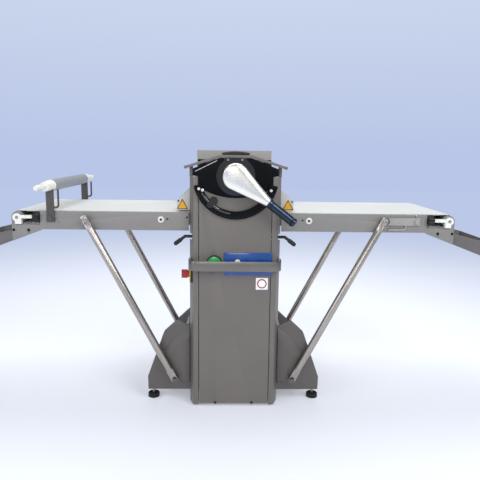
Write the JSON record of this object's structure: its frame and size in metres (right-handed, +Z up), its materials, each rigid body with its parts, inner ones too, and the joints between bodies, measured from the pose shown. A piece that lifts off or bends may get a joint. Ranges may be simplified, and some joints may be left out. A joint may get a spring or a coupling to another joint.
{
  "type": "dough sheeter",
  "caption": "Floor-standing dough sheeter: pedestal housing with a hand lever for the roller gap, two folding belt tables on struts, catch trays and a rolling pin.",
  "frame": {"origin": "on the floor, midway between the two tables and midway between the front and rear rails", "axes": "+Z up, +X along the tables to the right as the operator sees them, -Y towards the operator"},
  "size_m": [2.65, 0.966, 1.22],
  "materials": {
    "frame_paint": "satin warm grey powder coat",
    "cover_paint": "satin light grey powder coat",
    "steel": "brushed steel",
    "chrome": "polished",
    "black_plastic": "moulded black plastic",
    "black_paint": "semi-gloss black paint",
    "white_plastic": "machined white plastic",
    "belt": "coated woven belt",
    "rubber": "moulded rubber",
    "green_plastic": "glossy",
    "blue_plate": "glossy",
    "yellow_plastic": "glossy",
    "red_plastic": "glossy",
    "motor_paint": "enamel",
    "cast_iron": "machined"
  },
  "bodies": {
    "machine": {"side_plates": "frame_paint", "tie_bars": "steel", "base_pan": "steel", "foot_brackets": "frame_paint", "foot_pads": "rubber", "foot_studs": "steel", "belly_covers": "frame_paint", "front_cover": "cover_paint", "front_panel": "cover_paint", "front_screws": "black_paint", "front_roof": "cover_paint", "roof_cap": "black_plastic", "control_plate": "black_paint", "scale_ring": "black_paint", "ring_bolts": "chrome", "lamp_plate": "blue_plate", "switch_base": "yellow_plastic", "rear_housing": "cover_paint", "top_cover": "cover_paint", "roller_bearings": "cast_iron", "motor": "motor_paint", "drive_chain": "steel"},
    "lower_roller": {"lower_roller": "chrome"},
    "roller_carriage": {"roller_carriage": "cast_iron"},
    "upper_roller": {"upper_roller": "chrome"},
    "gap_lever": {"gap_lever": "chrome", "lever_grip": "chrome", "lever_shaft": "steel"},
    "limiter": {"limiter": "black_plastic"},
    "stop_bar": {"stop_bar": "steel"},
    "start_button": {"start_button": "green_plastic"},
    "direction_lever": {"direction_lever": "black_paint"},
    "switch_handle": {"switch_handle": "red_plastic"},
    "left_guard": {"left_guard": "cover_paint"},
    "right_guard": {"right_guard": "cover_paint"},
    "drive_sprocket": {"drive_sprocket": "steel"},
    "left_table": {"left_table_frame": "frame_paint", "left_table_bed": "steel", "left_belt": "belt", "left_tension_slides": "white_plastic"},
    "left_drive_roller": {"left_drive_roller": "steel"},
    "left_end_roller": {"left_end_roller": "steel"},
    "left_knob_front": {"left_knob_front": "black_plastic"},
    "left_knob_rear": {"left_knob_rear": "black_plastic"},
    "left_struts": {"left_struts": "steel"},
    "left_tray": {"left_tray": "frame_paint"},
    "right_table": {"right_table_frame": "frame_paint", "right_table_bed": "steel", "right_belt": "belt", "right_tension_slides": "white_plastic"},
    "right_drive_roller": {"right_drive_roller": "steel"},
    "right_end_roller": {"right_end_roller": "steel"},
    "right_knob_front": {"right_knob_front": "black_plastic"},
    "right_knob_rear": {"right_knob_rear": "black_plastic"},
    "right_struts": {"right_struts": "steel"},
    "right_tray": {"right_tray": "frame_paint"},
    "left_pin_arms": {"left_pin_arms": "black_paint"},
    "rolling_pin": {"rolling_pin": "steel"},
    "right_front_arm": {"right_front_arm": "black_paint"},
    "right_rear_arm": {"right_rear_arm": "black_paint"}
  },
  "joints": [
    {"name": "left_table_fold", "type": "hinge", "parent": "machine", "child": "left_table", "pos_m": [-0.12, 0, 0.905], "axis": [0, 1, 0], "range_deg": [0, 55]},
    {"name": "left_struts_swing", "type": "hinge", "parent": "left_table", "child": "left_struts", "pos_m": [-0.69, 0, 0.902], "axis": [0, 1, 0], "range_deg": [-40, 0]},
    {"name": "left_guard_hinge", "type": "hinge", "parent": "machine", "child": "left_guard", "pos_m": [-0.15, 0, 1.085], "axis": [0, 1, 0], "range_deg": [0, 116]},
    {"name": "left_drive_spin", "type": "hinge", "parent": "machine", "child": "left_drive_roller", "pos_m": [-0.12, 0, 0.905], "axis": [0, 1, 0], "continuous": true},
    {"name": "left_end_spin", "type": "hinge", "parent": "left_table", "child": "left_end_roller", "pos_m": [-1.006, 0, 0.905], "axis": [0, 1, 0], "continuous": true},
    {"name": "left_tray_tilt", "type": "hinge", "parent": "left_table", "child": "left_tray", "pos_m": [-0.957, 0, 0.838], "axis": [0, 1, 0], "range_deg": [0, 8]},
    {"name": "left_knob_front_turn", "type": "hinge", "parent": "left_table", "child": "left_knob_front", "pos_m": [-0.917, -0.298, 0.908], "axis": [-1, 0, 0], "range_deg": [-720, 720]},
    {"name": "left_knob_rear_turn", "type": "hinge", "parent": "left_table", "child": "left_knob_rear", "pos_m": [-0.917, 0.298, 0.908], "axis": [-1, 0, 0], "range_deg": [-720, 720]},
    {"name": "right_table_fold", "type": "hinge", "parent": "machine", "child": "right_table", "pos_m": [0.12, 0, 0.905], "axis": [0, -1, 0], "range_deg": [0, 55]},
    {"name": "right_struts_swing", "type": "hinge", "parent": "right_table", "child": "right_struts", "pos_m": [0.69, 0, 0.902], "axis": [0, -1, 0], "range_deg": [-40, 0]},
    {"name": "right_guard_hinge", "type": "hinge", "parent": "machine", "child": "right_guard", "pos_m": [0.15, 0, 1.085], "axis": [0, -1, 0], "range_deg": [0, 116]},
    {"name": "right_drive_spin", "type": "hinge", "parent": "machine", "child": "right_drive_roller", "pos_m": [0.12, 0, 0.905], "axis": [0, 1, 0], "continuous": true},
    {"name": "right_end_spin", "type": "hinge", "parent": "right_table", "child": "right_end_roller", "pos_m": [1.006, 0, 0.905], "axis": [0, 1, 0], "continuous": true},
    {"name": "right_tray_tilt", "type": "hinge", "parent": "right_table", "child": "right_tray", "pos_m": [0.957, 0, 0.838], "axis": [0, -1, 0], "range_deg": [0, 8]},
    {"name": "right_knob_front_turn", "type": "hinge", "parent": "right_table", "child": "right_knob_front", "pos_m": [0.917, -0.298, 0.908], "axis": [1, 0, 0], "range_deg": [-720, 720]},
    {"name": "right_knob_rear_turn", "type": "hinge", "parent": "right_table", "child": "right_knob_rear", "pos_m": [0.917, 0.298, 0.908], "axis": [1, 0, 0], "range_deg": [-720, 720]},
    {"name": "left_pin_arms_fold", "type": "hinge", "parent": "left_table", "child": "left_pin_arms", "pos_m": [-0.851, 0, 0.902], "axis": [0, 1, 0], "range_deg": [0, 58]},
    {"name": "rolling_pin_spin", "type": "hinge", "parent": "left_pin_arms", "child": "rolling_pin", "pos_m": [-0.851, 0, 1.052], "axis": [0, 1, 0], "continuous": true},
    {"name": "right_front_arm_fold", "type": "hinge", "parent": "right_table", "child": "right_front_arm", "pos_m": [0.851, -0.3, 0.902], "axis": [0, 1, 0], "range_deg": [0, 90]},
    {"name": "right_rear_arm_fold", "type": "hinge", "parent": "right_table", "child": "right_rear_arm", "pos_m": [0.851, 0.3, 0.902], "axis": [0, 1, 0], "range_deg": [0, 90]},
    {"name": "lower_roller_spin", "type": "hinge", "parent": "machine", "child": "lower_roller", "pos_m": [0, 0, 0.896], "axis": [0, 1, 0], "continuous": true},
    {"name": "gap_lever_turn", "type": "hinge", "parent": "machine", "child": "gap_lever", "pos_m": [0, 0, 1.107], "axis": [0, 1, 0], "range_deg": [0, 80]},
    {"name": "roller_carriage_lift", "type": "slide", "parent": "machine", "child": "roller_carriage", "axis": [0, 0, 1], "range_m": [-0.038, 0]},
    {"name": "upper_roller_spin", "type": "hinge", "parent": "roller_carriage", "child": "upper_roller", "pos_m": [0, 0, 1.02], "axis": [0, 1, 0], "continuous": true},
    {"name": "drive_sprocket_spin", "type": "hinge", "parent": "machine", "child": "drive_sprocket", "pos_m": [0, 0, 0.19], "axis": [0, 1, 0], "continuous": true},
    {"name": "limiter_set", "type": "hinge", "parent": "machine", "child": "limiter", "pos_m": [0, 0, 1.107], "axis": [0, 1, 0], "range_deg": [0, 20]},
    {"name": "stop_bar_press", "type": "slide", "parent": "machine", "child": "stop_bar", "axis": [0, 1, 0], "range_m": [0, 0.006], "stiffness_N_per_m": 1500},
    {"name": "start_button_press", "type": "slide", "parent": "machine", "child": "start_button", "axis": [0, 1, 0], "range_m": [0, 0.005], "stiffness_N_per_m": 400},
    {"name": "direction_lever_swing", "type": "hinge", "parent": "machine", "child": "direction_lever", "pos_m": [0, -0.3106, 0.826], "axis": [1, 0, 0], "range_deg": [-20, 20]},
    {"name": "switch_turn", "type": "hinge", "parent": "machine", "child": "switch_handle", "pos_m": [-0.2113, -0.3196, 0.65], "axis": [1, 0, 0], "range_deg": [0, 90]}
  ],
  "couplings": [
    {"joint": "left_struts_swing", "follows": "left_table_fold", "ratio": -0.7039},
    {"joint": "left_guard_hinge", "follows": "left_table_fold", "ratio": 2.1},
    {"joint": "left_drive_spin", "follows": "lower_roller_spin", "ratio": 1.3548},
    {"joint": "left_end_spin", "follows": "lower_roller_spin", "ratio": 1.3548},
    {"joint": "right_struts_swing", "follows": "right_table_fold", "ratio": -0.7039},
    {"joint": "right_guard_hinge", "follows": "right_table_fold", "ratio": 2.1},
    {"joint": "right_drive_spin", "follows": "lower_roller_spin", "ratio": 1.3548},
    {"joint": "right_end_spin", "follows": "lower_roller_spin", "ratio": 1.3548},
    {"joint": "roller_carriage_lift", "follows": "gap_lever_turn", "m_per_rad": -0.027},
    {"joint": "upper_roller_spin", "follows": "lower_roller_spin", "ratio": -1},
    {"joint": "drive_sprocket_spin", "follows": "lower_roller_spin", "ratio": 1.1111}
  ]
}
